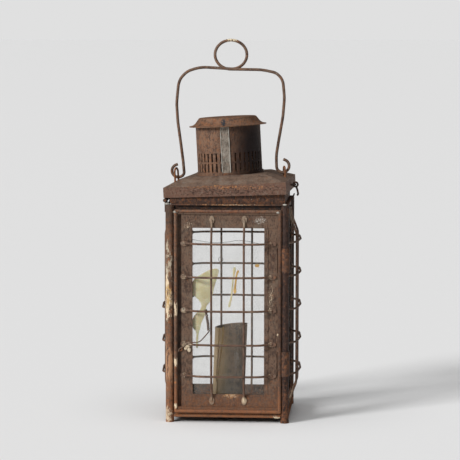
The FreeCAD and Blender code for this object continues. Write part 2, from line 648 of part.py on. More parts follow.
def chimney_cap():
    """Flared brim and a flat crown, one spun sheet."""
    r = CAP_D / 2
    crown = CAP_TOP_D / 2
    z = BRIM_Z
    t = CHIMNEY_WALL
    flare_r = r - CAP_FLARE
    flare_z = z + CAP_FLARE_UP
    top_z = z + CAP_H
    outer = [Part.Arc(V(r, 0, z), V(r - 3.4, 0, z + 0.7), V(flare_r, 0, flare_z)),
             Part.LineSegment(V(flare_r, 0, flare_z), V(crown, 0, top_z - 0.5)),
             Part.LineSegment(V(crown, 0, top_z - 0.5), V(crown - 1.2, 0, top_z)),
             Part.LineSegment(V(crown - 1.2, 0, top_z), V(0, 0, top_z))]
    inner = [Part.LineSegment(V(0, 0, top_z), V(0, 0, top_z - t)),
             Part.LineSegment(V(0, 0, top_z - t), V(crown - 1.4, 0, top_z - t)),
             Part.LineSegment(V(crown - 1.4, 0, top_z - t), V(flare_r - 0.8, 0, flare_z - 0.4)),
             Part.Arc(V(flare_r - 0.8, 0, flare_z - 0.4), V(r - 3.6, 0, z - 0.15), V(r, 0, z - t)),
             Part.LineSegment(V(r, 0, z - t), V(r, 0, z))]
    profile = Part.Face(Part.Wire([e.toShape() for e in outer + inner]))
    return profile.revolve(V(0, 0, 0), V(0, 0, 1), 360)


def eyelet(side):
    """A wire staple through the roof that an end curl of the bail hangs in."""
    headroom = EYELET_HEADROOM[0] if side < 0 else EYELET_HEADROOM[1]
    crown_z = BAIL_PIVOT_Z + headroom
    x = side * BAIL_PIVOT_X
    arch = Part.makeTorus(EYELET_HALF, EYELET_D / 2, V(x, 0, crown_z), V(1, 0, 0))
    arch = arch.common(box(x - 9, x + 9, -9, 9, crown_z, crown_z + 9))
    legs = [rod(V(x, y, SKIRT_TOP - 6), V(x, y, crown_z), EYELET_D / 2) for y in (-EYELET_HALF, EYELET_HALF)]
    staple = fused([arch] + legs)
    staple.rotate(V(x, 0, 0), V(0, 0, 1), side * EYELET_TURN)
    top_half = ROOF_TOP_W / 2
    roof_mass = fused([box(-LID_HALF, LID_HALF, -LID_HALF, LID_HALF, SKIRT_LOW - 20, SKIRT_TOP),
                       Part.makeLoft([square(LID_HALF, SKIRT_TOP), square(top_half, ROOF_TOP)], True, True)])
    return staple.cut(roof_mass)


# ---------------------------------------------------------------- lid hinge
def knuckle_spans(first):
    """Spans along the pin: every other knuckle, starting with the first or the second."""
    length = LID_W - 2 * HINGE_SET_IN
    step = length / KNUCKLES
    starts = [-length / 2 + i * step for i in range(first, KNUCKLES, 2)]
    return [(y + KNUCKLE_GAP / 2, y + step - KNUCKLE_GAP / 2) for y in starts]


def hinge_rod(y0, y1, radius):
    return rod(V(HINGE_X, y0, HINGE_Z), V(HINGE_X, y1, HINGE_Z), radius)


def lid_hinge_pin():
    reach = LID_HALF - HINGE_SET_IN
    return hinge_rod(-reach, reach, HINGE_PIN_D / 2)


def body_hinge_leaf():
    """Leaf soldered to the outsides of the left posts, with its three knuckles."""
    r = HINGE_D / 2
    low = WALL_TOP - LEAF_DROP
    reach = LID_HALF - HINGE_SET_IN
    face = -HALF - CONTACT_GAP
    leaf = box(face - SHEET, face, -reach, reach, low, HINGE_Z)
    for y0, y1 in knuckle_spans(1):
        leaf = leaf.cut(box(-BODY_W, 0, y0 - KNUCKLE_GAP, y1 + KNUCKLE_GAP, HINGE_Z - 4.4, HINGE_Z + 9))
    knuckles = [hinge_rod(y0, y1, r) for y0, y1 in knuckle_spans(0)]
    return fused([leaf] + knuckles).cut(hinge_rod(-BODY_W, BODY_W, HINGE_PIN_D / 2 + WIRE_GAP))


def lid_hinge_leaf(lid_roof):
    """Leaf on the outside of the skirt, with its two knuckles; they stay in line with the pin."""
    r = HINGE_D / 2
    reach = LID_HALF - 1.5 * HINGE_SET_IN
    leaf_low = SKIRT_LOW - 0.3
    leaf = on_lid(box(-LID_HALF - SHEET, -LID_HALF, -reach, reach, leaf_low, leaf_low + LEAF_UP))
    root_top = HINGE_Z + SKIRT_OVER_HINGE + 1.2
    knuckles = []
    for y0, y1 in knuckle_spans(1):
        lean = LID_W * math.sin(math.radians(-LID_YAW))
        right = HINGE_X + r + lean * max(0.0, (y0 + y1) / 2) / LID_W
        knuckles.append(hinge_rod(y0, y1, r))
        knuckles.append(box(HINGE_X - r, right, y0, y1, HINGE_Z, root_top))
    whole = fused([leaf] + knuckles)
    keep_clear = on_lid(box(-LID_HALF, 0, -LID_W, LID_W, SKIRT_LOW - 20, SKIRT_TOP))
    whole = whole.cut(keep_clear)
    return whole.cut(hinge_rod(-BODY_W, BODY_W, HINGE_PIN_D / 2 + PIVOT_CLEAR))


# ---------------------------------------------------------------- bail, hook and staples
def bail():
    """One wire: curl, leg, shoulder, ring, shoulder, leg, curl; drawn upright over the tilted lid."""
    left = lid_point(-BAIL_PIVOT_X, BAIL_PIVOT_Z)
    right = lid_point(BAIL_PIVOT_X, BAIL_PIVOT_Z)
    middle_x = (left[0] + right[0]) / 2
    middle_z = (left[1] + right[1]) / 2
    shoulder = middle_z + BAIL_H
    lift = BAIL_D / 2 + CONTACT_GAP
    rise = math.sqrt(CURL_R ** 2 - BAIL_INSET ** 2)

    def curl(pivot, side):
        """Corners round an end curl, from its tip to the foot of the leg."""
        cx = pivot[0] - side * BAIL_INSET
        cz = pivot[1] + rise
        corner_r = CURL_R / math.cos(math.radians(CURL_SWEEP / CURL_SIDES / 2))
        corners = []
        for i in range(CURL_SIDES):
            angle = math.radians(CURL_TIP - (i + 0.5) * CURL_SWEEP / CURL_SIDES)
            corners.append(V(cx + side * corner_r * math.cos(angle), 0, cz + corner_r * math.sin(angle)))
        return corners

    def leg(pivot, side, top):
        """Corners of a leg, from its foot up and round the shoulder."""
        waist = WAIST_IN[0] if side < 0 else WAIST_IN[1]
        size = SHOULDER_ROUND[0] if side < 0 else SHOULDER_ROUND[1]
        straight = [V(pivot[0] - side * waist * share, 0, pivot[1] + up) for up, share in LEG_SHAPE]
        return straight + [V(pivot[0] - side * size * x, 0, top - size * down) for x, down in SHOULDER_SHAPE]

    top_l = shoulder + SHOULDER_SLOPE
    top_r = shoulder - SHOULDER_SLOPE
    ring_x = middle_x + RING_ASIDE
    ring_z = shoulder + RING_H / 2 - RING_ASIDE
    path = curl(left, -1) + leg(left, -1, top_l)
    path.append(V(left[0] + RING_FOOT[0], lift, top_l + 0.4))
    for i in range(RING_SIDES):
        share = i / (RING_SIDES - 1)
        angle = math.radians(-90 + (i + 0.5) * 360 / RING_SIDES)
        scale = 1 / math.cos(math.pi / RING_SIDES)
        path.append(V(ring_x + RING_W / 2 * scale * math.cos(angle), lift * (1 - 2 * share),
                      ring_z + RING_H / 2 * scale * math.sin(angle)))
    path.append(V(right[0] - RING_FOOT[1], -lift, top_r + 0.2))
    path += list(reversed(leg(right, 1, top_r))) + list(reversed(curl(right, 1)))
    return turned(bent_wire(path, BAIL_D, BAIL_H / 2), LID_YAW)


def hook_staple():
    """Wire staple standing out of the skirt: two legs and a crossbar along Y."""
    x = LID_HALF
    out = x + STAPLE_OUT
    z = HOOK_PIVOT.z
    points = [V(x, -STAPLE_HALF, z), V(out, -STAPLE_HALF, z), V(out, STAPLE_HALF, z), V(x, STAPLE_HALF, z)]
    return bent_wire(points, STAPLE_WIRE_D, 0.8 * STAPLE_WIRE_D)


def latch_loop():
    """Wire loop on the right wall that leans out and up past the ledge, for the lid's hook."""
    low = WALL_TOP - LATCH_DOWN
    knee = LEDGE + STAPLE_WIRE_D / 2 + LATCH_OFF
    top = V(knee + LATCH_LEAN, 0, LEDGE_TOP + LATCH_UP)
    side = [V(WALL_Y, 0, low), V(knee, 0, low), V(knee, 0, LEDGE_TOP), top]
    across = V(0, STAPLE_HALF, 0)
    points = [p - across for p in side] + [p + across for p in reversed(side)]
    return bent_wire(points, STAPLE_WIRE_D, 0.8 * STAPLE_WIRE_D)


def lid_hook():
    """A short wire hook hanging on its eye from the lid's staple."""
    p = HOOK_PIVOT
    eye = Part.makeTorus(HOOK_EYE_R, HOOK_WIRE_D / 2, p, V(0, 1, 0))
    foot = p.z - HOOK_LENGTH
    points = [V(p.x + 0.6, 0, p.z - HOOK_EYE_R), V(p.x + 1.5, 0, p.z - 0.55 * HOOK_LENGTH),
              V(p.x + 2.2, 0, foot), V(p.x + 1.0, 0, foot - 1.4)]
    return fused([eye, bent_wire(points, HOOK_WIRE_D, 1.6)])


# ---------------------------------------------------------------- assembly
def build():
    os.makedirs("parts", exist_ok=True)
    for y, depth in ((-POST_C, "front"), (POST_C, "rear")):
        for x, side in ((-POST_C, "left"), (POST_C, "right")):
            save(f"post_{depth}_{side}", corner_post(x, y))
    save("floor_pan", floor_pan())
    save("front_sill", front_sill())
    save("top_collar", top_collar())

    low = WINDOW_LOW / 2 + FOOT_H / 2 + 1.4
    high = WALL_TOP - APRON_H - (WINDOW_HEAD - APRON_H) / 2
    edge = POST_EDGE - PADDLE_L / 2 - PADDLE_SET_IN
    sides = (("front", 0), ("right", 90), ("rear", 180), ("left", 270))
    for name, angle in sides:
        save(f"bottom_rail_{name}", turned(bottom_rail(), angle))
    for name, angle in sides[1:]:
        wall = turned(window_wall(), angle)
        if name == "right":
            wall = wall.cut(strap_relief())
        heights = list(BAR_HEIGHTS)
        uprights = UPRIGHTS_SIDE
        pressed_in = 0.0
        if name == "left":
            heights = heights[:LEFT_BARS_KEPT]
            pressed_in = LEFT_PRESSED_IN
        if name == "rear":
            heights.pop(LOST_REAR_BAR)
            uprights = [-x for x in UPRIGHTS_FRONT]
        save(f"{name}_window_wall", wall)
        save(f"{name}_glass", turned(glass_pane(), angle))
        save(f"{name}_glass_channels", turned(fixed_channels(), angle))
        save(f"{name}_guard_uprights", turned(guard_uprights(uprights, low, high, pressed_in), angle))
        save(f"{name}_guard_bars", turned(guard_bars(-edge, edge, heights, pressed_in), angle))

    save("candle_tube", candle_tube())
    stub, wick = candle_parts()
    save("candle_stub", stub)
    save("candle_wick", wick)

    save("door_panel", door_panel())
    save("door_edge_bead", door_bead())
    save("door_window_strips", door_window_strips())
    save("door_glass_channels", door_channels())
    save("door_glass", door_glass())
    save("door_strap_lower", hinge_strap(STRAP_LOW))
    save("door_strap_upper", hinge_strap(STRAP_HIGH))
    door_low = (DOOR_LOW + BEAD_R + DOOR_LIP_LOW + DOOR_PLATE_LOW) / 2
    door_high = (DOOR_TOP - BEAD_R - DOOR_LIP_TOP + DOOR_WINDOW_TOP) / 2 + 1.5
    door_uprights = guard_uprights(UPRIGHTS_FRONT, door_low, door_high)
    save("door_guard_uprights", door_uprights)
    save("door_cross_plates", door_cross_plates(door_uprights))
    door_bar_l = DOOR_WINDOW_L - STRIP_W - PADDLE_L / 2
    door_bar_r = DOOR_WINDOW_R + STRIP_W + PADDLE_L / 2
    save("door_guard_bars", guard_bars(door_bar_l, door_bar_r, BAR_HEIGHTS))
    save("door_tie_wire", tie_wire())

    lid_roof = on_lid(roof())
    save("lid_roof", lid_roof)
    save("chimney_tube", on_lid(chimney_tube()))
    save("chimney_base_ring", on_lid(ring(TUBE_R, TUBE_R + BASE_RING_T, ROOF_TOP, BASE_RING_H)))
    save("chimney_seam", on_lid(chimney_seam()))
    save("chimney_cap", on_lid(chimney_cap()))
    save("bail_eyelet_left", on_lid(eyelet(-1)))
    save("bail_eyelet_right", on_lid(eyelet(1)))
    save("lid_hook_staple", on_lid(hook_staple()))
    save("lid_hook", on_lid(lid_hook()))
    save("lid_hinge_leaf", lid_hinge_leaf(lid_roof))
    save("body_hinge_leaf", body_hinge_leaf())
    save("lid_hinge_pin", lid_hinge_pin())
    save("latch_loop", latch_loop())
    save("bail", bail())


build()
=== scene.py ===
# %% [markdown]
# # A wire-guarded candle lantern
# The solid model of the lantern is already made. This script loads it, lights it, gives every sheet,
# wire and pane its finish, and adds the small things that a solid modeller leaves out: solder lumps, wax runs,
# twisted wire and flaking paint. Everything is in metres, +Z up, and the door faces -Y.

# %% Load the solid model
import bpy
import math
from mathutils import Matrix, Vector


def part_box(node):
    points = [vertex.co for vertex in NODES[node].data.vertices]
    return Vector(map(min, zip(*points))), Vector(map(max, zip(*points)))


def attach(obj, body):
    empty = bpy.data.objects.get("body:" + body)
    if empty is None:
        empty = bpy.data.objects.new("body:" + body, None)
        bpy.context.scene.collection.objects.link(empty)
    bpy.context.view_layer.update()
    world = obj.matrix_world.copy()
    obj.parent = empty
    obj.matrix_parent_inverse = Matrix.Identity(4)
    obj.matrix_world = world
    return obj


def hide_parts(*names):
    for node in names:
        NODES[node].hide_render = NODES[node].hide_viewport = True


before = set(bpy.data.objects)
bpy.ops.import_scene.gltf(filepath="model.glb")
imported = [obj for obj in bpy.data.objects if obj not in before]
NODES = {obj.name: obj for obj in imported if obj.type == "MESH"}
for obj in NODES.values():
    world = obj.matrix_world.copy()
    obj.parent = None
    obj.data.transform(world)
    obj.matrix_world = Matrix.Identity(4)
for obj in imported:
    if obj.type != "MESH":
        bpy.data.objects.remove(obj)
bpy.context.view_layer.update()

MM = 0.001

# %% [markdown]
# ## The camera
# A small object looks natural from well back with a long lens, because its upright edges then stay nearly
# parallel. The camera stands a little to the right of the door and a little above the lid.

# %% Camera
CAMERA_AZIMUTH = math.radians(4.084)
CAMERA_HEIGHT = math.radians(5.241)
CAMERA_DISTANCE = 2.2395
CAMERA_AIM = Vector((-1.46 * MM, 0, 190.6 * MM))
CAMERA_LENS = 169.5
CAMERA_ROLL = math.radians(0.05)

lens = bpy.data.cameras.new("camera")
lens.lens = CAMERA_LENS
lens.sensor_width = 36.0
lens.clip_end = 100.0
camera = bpy.data.objects.new("camera", lens)
bpy.context.scene.collection.objects.link(camera)
back = Vector((math.sin(CAMERA_AZIMUTH) * math.cos(CAMERA_HEIGHT),
               -math.cos(CAMERA_AZIMUTH) * math.cos(CAMERA_HEIGHT), math.sin(CAMERA_HEIGHT)))
camera.location = CAMERA_AIM + CAMERA_DISTANCE * back
roll = Matrix.Rotation(CAMERA_ROLL, 4, "Z").to_quaternion()
camera.rotation_euler = (back.to_track_quat("Z", "Y") @ roll).to_euler()
bpy.context.scene.camera = camera
print("camera at", [round(v, 3) for v in camera.location])

# %% [markdown]
# ## Building a finish from nodes
# Old sheet iron is never one colour. Each finish here is a small network: noise at several sizes is turned into
# masks, and each mask lays one colour over another, as rust, dust and paint do on the real metal. A few masks lay
# painted shade or painted light instead, and each of those is marked where it stands. The helpers below add one
# node each, so that a finish can be read as a list of layers. All of them read Object coordinates, which are
# metres on the lantern itself, so a 5 mm blotch is 5 mm on every piece.

# %% Node helpers
def plug(tree, value, socket):
    """Feeds a socket with another node's output, or sets it to a plain value."""
    if isinstance(value, bpy.types.NodeSocket):
        tree.links.new(value, socket)
    else:
        socket.default_value = value


def new_finish(name):
    finish = bpy.data.materials.new(name)
    finish.use_nodes = True
    tree = finish.node_tree
    tree.nodes.clear()
    output = tree.nodes.new("ShaderNodeOutputMaterial")
    shader = tree.nodes.new("ShaderNodeBsdfPrincipled")
    tree.links.new(shader.outputs["BSDF"], output.inputs["Surface"])
    return finish, tree, shader


def place(tree, stretch=(1, 1, 1), shift=0.0):
    """Object coordinates, stretched and shifted, so that two layers never share a pattern."""
    source = tree.nodes.new("ShaderNodeTexCoord")
    mapping = tree.nodes.new("ShaderNodeMapping")
    mapping.inputs["Scale"].default_value = stretch
    mapping.inputs["Location"].default_value = (shift, shift * 0.7, shift * 1.3)
    tree.links.new(source.outputs["Object"], mapping.inputs["Vector"])
    return mapping.outputs["Vector"]


def noise(tree, where, size_mm, detail=4.0, rough=0.6):
    node = tree.nodes.new("ShaderNodeTexNoise")
    node.inputs["Scale"].default_value = 1.0 / (size_mm * MM)
    node.inputs["Detail"].default_value = detail
    node.inputs["Roughness"].default_value = rough
    tree.links.new(where, node.inputs["Vector"])
    return node.outputs["Fac"]


def between(tree, value, low, high, to_low=0.0, to_high=1.0):
    """Smooth step of a value from low to high."""
    node = tree.nodes.new("ShaderNodeMapRange")
    node.interpolation_type = "SMOOTHSTEP"
    plug(tree, value, node.inputs["Value"])
    node.inputs["From Min"].default_value = low
    node.inputs["From Max"].default_value = high
    node.inputs["To Min"].default_value = to_low
    node.inputs["To Max"].default_value = to_high
    return node.outputs["Result"]


def maths(tree, operation, a, b=0.0):
    node = tree.nodes.new("ShaderNodeMath")
    node.operation = operation
    plug(tree, a, node.inputs[0])
    plug(tree, b, node.inputs[1])
    return node.outputs["Value"]


def lay(tree, share, under, over):
    """One colour laid over another where share is 1."""
    node = tree.nodes.new("ShaderNodeMix")
    node.data_type = "RGBA"
    plug(tree, share, node.inputs["Factor"])
    for value, socket in ((under, node.inputs[6]), (over, node.inputs[7])):
        plug(tree, value if isinstance(value, bpy.types.NodeSocket) else (*value, 1.0), socket)
    return node.outputs[2]


def patch(tree, centre_mm, reach_mm):
    """1 at the middle of an egg-shaped patch, falling to 0 at its rim."""
    source = tree.nodes.new("ShaderNodeTexCoord")
    off = tree.nodes.new("ShaderNodeVectorMath")
    off.operation = "SUBTRACT"
    tree.links.new(source.outputs["Object"], off.inputs[0])
    off.inputs[1].default_value = [v * MM for v in centre_mm]
    scaled = tree.nodes.new("ShaderNodeVectorMath")
    scaled.operation = "DIVIDE"
    tree.links.new(off.outputs["Vector"], scaled.inputs[0])
    scaled.inputs[1].default_value = [v * MM for v in reach_mm]
    length = tree.nodes.new("ShaderNodeVectorMath")
    length.operation = "LENGTH"
    tree.links.new(scaled.outputs["Vector"], length.inputs[0])
    return between(tree, length.outputs["Value"], 1.0, 0.0)


def height(tree, low_mm, high_mm, lean=0.0):
    """0 to 1 going up between two heights, which may rise to the right by lean."""
    source = tree.nodes.new("ShaderNodeTexCoord")
    split = tree.nodes.new("ShaderNodeSeparateXYZ")
    tree.links.new(source.outputs["Object"], split.inputs[0])
    level = maths(tree, "SUBTRACT", split.outputs["Z"], maths(tree, "MULTIPLY", split.outputs["X"], lean))
    return between(tree, level, low_mm * MM, high_mm * MM)


def ragged(tree, share, grain, cut=1.0, soft=0.10):
    """A patch with a torn edge: its strength and a noise are added and cut off sharply."""
    rough = maths(tree, "MULTIPLY", between(tree, grain, 0.35, 0.65), 0.6)
    total = maths(tree, "ADD", maths(tree, "MULTIPLY", share, 0.75), rough)
    return between(tree, total, cut, cut + soft)


# %% [markdown]
# ## Rusted sheet iron
# The lantern was made of thin tinned iron. Its tin has gone nearly everywhere, which leaves a dull brown skin.
# Four layers make it: a dark and a lighter brown in blotches of a few millimetres, a grey bloom where dust has
# settled, orange rust that is strongest low down, and fine dark pits. The same noises drive roughness and bump,
# so that what looks like a crust also feels like one.

# %% Rust recipe
DARK = (0.052, 0.030, 0.022)
BROWN = (0.158, 0.098, 0.066)
GREY = (0.165, 0.125, 0.092)
ORANGE = (0.300, 0.115, 0.045)
CREAM = (0.700, 0.560, 0.390)
CHALK = (0.760, 0.730, 0.660)


def rust(name, dark=DARK, brown=BROWN, grey=GREY, orange=ORANGE, grey_share=0.5, orange_share=0.35,
         low_rust=0.0, flecks=0.0, shine=0.5, shift=0.0, layers=()):
    """Rusted sheet. Each extra layer is (mask maker, colour); a mask maker takes the tree."""
    finish, tree, shader = new_finish(name)
    where = place(tree, shift=shift)
    streaked = place(tree, stretch=(1, 1, 0.4), shift=shift + 3.1)
    blotch = noise(tree, where, 8.0, 6.0, 0.66)
    mottle = noise(tree, streaked, 1.7, 5.0, 0.75)
    grain = noise(tree, where, 0.6, 3.0, 0.75)
    bloom = noise(tree, place(tree, shift=shift + 7.7), 11.0, 8.0, 0.72)
    crust = noise(tree, place(tree, shift=shift + 11.3), 3.2, 8.0, 0.76)
    mixed = maths(tree, "ADD", maths(tree, "MULTIPLY", blotch, 0.28), maths(tree, "MULTIPLY", mottle, 0.50))
    mixed = maths(tree, "ADD", mixed, maths(tree, "MULTIPLY", grain, 0.22))
    colour = lay(tree, between(tree, mixed, 0.42, 0.55), dark, brown)
    dusty = between(tree, bloom, 0.66 - grey_share * 0.3, 0.88 - grey_share * 0.3, 0.0, 0.75)
    colour = lay(tree, dusty, colour, grey)
    rusting = maths(tree, "ADD", crust, orange_share * 0.3)
    if low_rust:
        rusting = maths(tree, "ADD", rusting, maths(tree, "MULTIPLY", height(tree, 60.0, 4.0), low_rust))
    rusting = between(tree, rusting, 0.60, 0.84, 0.0, 0.8)
    colour = lay(tree, rusting, colour, orange)
    pits = between(tree, grain, 0.40, 0.30)
    colour = lay(tree, maths(tree, "MULTIPLY", pits, 0.8), colour, [v * 0.5 for v in dark])
    if flecks:
        chips = noise(tree, place(tree, shift=shift + 19.0), 1.1, 4.0, 0.75)
        region = noise(tree, place(tree, shift=shift + 23.0), 12.0, 2.0, 0.5)
        chips = maths(tree, "MULTIPLY", between(tree, chips, 0.655, 0.70), between(tree, region, 0.50, 0.60))
        colour = lay(tree, maths(tree, "MULTIPLY", chips, flecks), colour, CREAM)
    relief = maths(tree, "ADD", maths(tree, "MULTIPLY", mottle, 0.9), maths(tree, "MULTIPLY", grain, 0.35))
    relief = maths(tree, "ADD", relief, maths(tree, "MULTIPLY", rusting, 0.25))
    for mask_maker, over in layers:
        mask = mask_maker(tree)
        colour = lay(tree, mask, colour, over)
        relief = maths(tree, "ADD", relief, maths(tree, "MULTIPLY", mask, 0.2))
    plug(tree, colour, shader.inputs["Base Color"])
    dull = maths(tree, "ADD", maths(tree, "MULTIPLY", mottle, 0.5), maths(tree, "MULTIPLY", rusting, 0.3))
    plug(tree, maths(tree, "ADD", dull, 0.55 - shine * 0.35), shader.inputs["Roughness"])
    shader.inputs["Metallic"].default_value = 0.12
    shader.inputs["Specular IOR Level"].default_value = 0.25
    bump = tree.nodes.new("ShaderNodeBump")
    bump.inputs["Strength"].default_value = 0.7
    bump.inputs["Distance"].default_value = 0.5 * MM
    plug(tree, relief, bump.inputs["Height"])
    tree.links.new(bump.outputs["Normal"], shader.inputs["Normal"])
    return finish


def torn_patch(centre_mm, reach_mm, size_mm=4.0, cut=1.0, stretch=(1, 1, 1), strength=1.0, shift=0.0):
    """Makes a mask maker: a ragged patch of paint, chalk or rust at one place."""
    def make(tree):
        grain = noise(tree, place(tree, stretch=stretch, shift=shift + 31.0), size_mm, 6.0, 0.75)
        mask = ragged(tree, patch(tree, centre_mm, reach_mm), grain, cut)
        return maths(tree, "MULTIPLY", mask, strength)
    return make


def soft_patch(centre_mm, reach_mm, strength=1.0):
    """Makes a mask maker: an even patch that fades out, used for a stain or for painted shade and painted light."""
    def make(tree):
        return maths(tree, "MULTIPLY", patch(tree, centre_mm, reach_mm), strength)
    return make


def band(low_mm, high_mm, strength=1.0, lean=0.0):
    """Makes a mask maker: from nothing at one height to its full strength at another, mottled."""
    def make(tree):
        mottle = noise(tree, place(tree, shift=37.0), 2.0, 5.0, 0.7)
        worn = between(tree, mottle, 0.40, 0.58, strength * 0.35, strength)
        return maths(tree, "MULTIPLY", height(tree, low_mm, high_mm, lean), worn)
    return make


def dress(finish, *names):
    """Puts a finish on CAD nodes."""
    for name in names:
        data = NODES[name].data
        data.materials.clear()
        data.materials.append(finish)


# %% [markdown]
# ## Finishes of the body
# The posts carried thick cream paint that survives on the left front one. The left edge bead of the door has
# the same paint in three places. The sides away from the door are plain brown. A dark strip down the right edge
# of the left front post is painted shade, and the other three posts are painted darker as painted shade.

# %% Body sheet
post_paint_and_painted_shade = [(torn_patch((-60, -63, 166), (20, 20, 44), 3.0, 0.92, (1, 1, 0.35), shift=3.0), (0.46, 0.39, 0.29)),
              (torn_patch((-61, -63, 127), (20, 20, 50), 3.5, 0.84, (1, 1, 0.3)), CREAM),
              (torn_patch((-61, -63, 128), (20, 20, 48), 2.0, 1.0, (1, 1, 0.4), shift=6.0), (0.52, 0.33, 0.13)),
              (torn_patch((-60, -63, 60), (20, 20, 66), 3.0, 0.90, (1, 1, 0.3), shift=9.0), (0.40, 0.22, 0.12)),
              (torn_patch((-61, -63, 8), (14, 14, 18), 2.5, 0.84, (1, 1, 0.5), shift=11.0), (0.55, 0.42, 0.29)),
              # Painted shade: a dark strip down the post's right edge, beside the door's bead.
              (soft_patch((-54.4, -62, 130), (2.6, 5, 90), 0.9), (0.034, 0.020, 0.015)),
              (soft_patch((-60, -62, 214), (12, 12, 30), 0.7), (0.040, 0.026, 0.020))]
left_post = rust("rust and painted shade on the left front post", grey_share=0.3, orange_share=0.6, low_rust=0.08,
                 flecks=0.9, shine=0.75, shift=1.0, layers=post_paint_and_painted_shade)
# Painted shade: these three posts get a darker brown for the side away from the key light.
posts_painted_darker_as_shade = rust("rust and painted shade on the other posts", dark=(0.016, 0.009, 0.007), brown=(0.052, 0.028, 0.021),
                   grey_share=0.05, orange_share=0.3, low_rust=0.10, flecks=0.6, shine=0.75, shift=2.0)
body_sheet = rust("rust on the body sheet", dark=(0.030, 0.018, 0.014), brown=(0.100, 0.062, 0.044), grey_share=0.3,
                  orange_share=0.3, low_rust=0.12, flecks=0.3, shift=4.0)
rail_rust = rust("rust on the bottom rails", grey_share=0.2, orange_share=0.55, low_rust=0.1, flecks=1.0, shift=5.5,
                 layers=[(torn_patch((49, -61, 6), (8, 5, 4), 1.6, 0.80), CREAM)])
collar_rust_and_painted_shade = rust("rust and painted shade on the collar", dark=(0.022, 0.013, 0.010), brown=(0.082, 0.045, 0.032), grey_share=0.1,
                   orange_share=0.5, flecks=0.8, shift=6.0,
                   layers=[(torn_patch((0, -62, 221.6), (120, 6, 3.5), 0.9, 1.06, (0.5, 1, 1)), (0.46, 0.24, 0.11)),
                           (torn_patch((8, -62, 221.4), (100, 6, 3.0), 0.8, 1.12, (0.5, 1, 1), shift=5.0), CREAM),
                           # Painted shade: the apron below the ledge is laid near black for the recess under the
                           # collar.
                           (band(221.0, 220.6, 0.75), (0.020, 0.022, 0.024)),
                           (torn_patch((-60, -61, 222), (8, 6, 3), 1.5, 0.80), CHALK)])
floor_dust = rust("dust on the floor pan", dark=(0.05, 0.038, 0.030), brown=(0.12, 0.092, 0.074),
                  grey=(0.19, 0.16, 0.138), grey_share=0.8, orange_share=0.1, shine=0.1, shift=7.0)
dress(left_post, "post_front_left")
dress(posts_painted_darker_as_shade, "post_front_right", "post_rear_left", "post_rear_right")
SIDES = ("left", "right", "rear")
dress(body_sheet, *[f"{side}_window_wall" for side in SIDES], *[f"{side}_glass_channels" for side in SIDES],
      "body_hinge_leaf", "lid_hinge_leaf")
dress(rail_rust, *[f"bottom_rail_{side}" for side in ("front", *SIDES)], "front_sill")
dress(collar_rust_and_painted_shade, "top_collar")
dress(floor_dust, "floor_pan")
print("body finishes on", sum(1 for o in NODES.values() if o.data.materials and "rust" in o.data.materials[0].name))

# %% Door sheet
BAR_Z = (48, 80, 114.5, 148.7, 182.4)
door_rust_and_painted_shade = rust("rust and painted shade on the door", grey_share=0.55, orange_share=0.25, low_rust=0.18, flecks=0.5, shift=8.0,
                 # Painted shadow: a dark strip down the panel just right of the left bead, where the bead's shadow
                 # falls.
                 layers=[(soft_patch((-49, -60, 112), (3.2, 9, 130), 0.75), (0.030, 0.020, 0.017)),
                         (band(36.0, 32.0, 0.6), (0.088, 0.048, 0.032)),
                         (torn_patch((33, -60, 206), (22, 6, 13), 1.1, 1.08, shift=2.0), CHALK),
                         (torn_patch((-40, -60, 200), (14, 6, 14), 1.0, 1.08, shift=7.0), CREAM),
                         # Painted shadow: dark spots at both ends of each bar, around the paddles.
                         *[(soft_patch((x, -60, z), (7, 7, 4.5), 0.6), (0.024, 0.015, 0.011))
                           for x in (-41, 40) for z in BAR_Z],
                         (torn_patch((4, -60, 28), (26, 10, 9), 1.4, 0.98, shift=4.0), (0.44, 0.22, 0.09)),
                         (torn_patch((4, -60, 28), (22, 10, 8), 1.1, 1.06, shift=9.0), CREAM),
                         (torn_patch((44, -60, 128), (12, 6, 50), 1.1, 1.13, shift=11.0), CREAM)])
bead_rust_and_painted_shade = rust("rust and painted shade on the door's bead", grey_share=0.15, orange_share=0.5, low_rust=0.15, flecks=0.8,
                 shine=0.7, shift=9.0,
                 layers=[(torn_patch((-52, -63, 116), (7, 7, 14), 2.0, 0.72, (1, 1, 0.4)), CREAM),
                         (torn_patch((-52, -63, 62), (7, 7, 9), 2.0, 0.72, (1, 1, 0.4), shift=3.0), CREAM),
                         (torn_patch((-52, -63, 17), (7, 7, 5), 1.6, 0.76, (1, 1, 0.5), shift=6.0), CREAM),
                         (soft_patch((-52.5, -64.5, 41), (2.2, 3, 1.8), 0.9), (0.56, 0.20, 0.05)),
                         # Painted shade: a dark strip down the right bead, on the side away from the light.
                         (soft_patch((53, -63, 112), (7, 8, 150), 0.55), (0.030, 0.018, 0.014)),
                         (torn_patch((-52, -62, 214), (7, 4, 4), 1.4, 0.90, shift=5.0), CHALK),
                         (soft_patch((0, -62, 214), (60, 6, 4), 0.35), (0.20, 0.060, 0.035)),
                         (soft_patch((0, -62, 12), (60, 6, 4), 0.3), (0.17, 0.070, 0.042))])
strap_rust = rust("rust on the hinge straps", dark=(0.026, 0.015, 0.011), brown=(0.090, 0.050, 0.035),
                  grey_share=0.1, orange_share=0.5, flecks=0.6, shine=0.6, shift=10.0)
dress(door_rust_and_painted_shade, "door_panel", "door_window_strips", "door_glass_channels", "door_cross_plates")
dress(bead_rust_and_painted_shade, "door_edge_bead")
dress(strap_rust, "door_strap_upper", "door_strap_lower")

